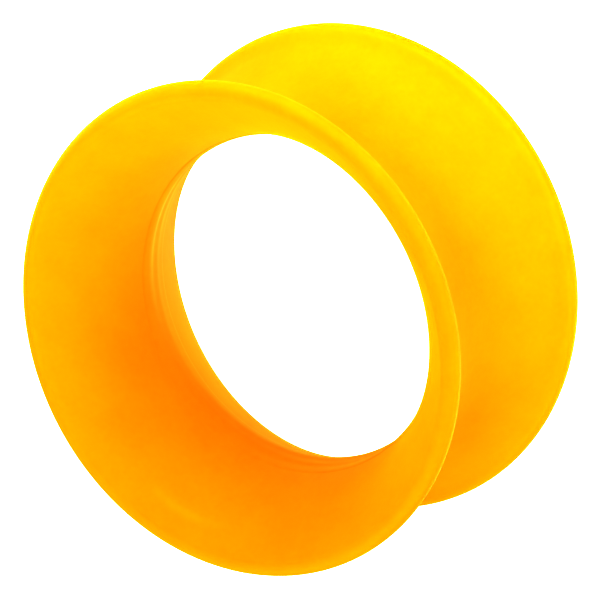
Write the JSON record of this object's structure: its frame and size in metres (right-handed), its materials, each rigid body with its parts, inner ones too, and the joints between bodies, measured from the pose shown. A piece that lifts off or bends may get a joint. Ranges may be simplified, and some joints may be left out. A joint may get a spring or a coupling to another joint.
{
  "type": "ear tunnel",
  "caption": "Thin-walled open ring for a stretched ear lobe, with a waisted groove outside and matching flares that end in round rims.",
  "frame": {"origin": "on the ring's axis, at the bottom of the lower rim on which the ring lies", "axes": "+Z along the ring's axis, from the lower rim to the upper one; X and Y are alike, because the ring is round"},
  "size_m": [0.0286, 0.0286, 0.0143],
  "materials": {
    "silicone": "matte moulded silicone rubber"
  },
  "bodies": {
    "root": {"ear_tunnel": "silicone"}
  },
  "joints": []
}
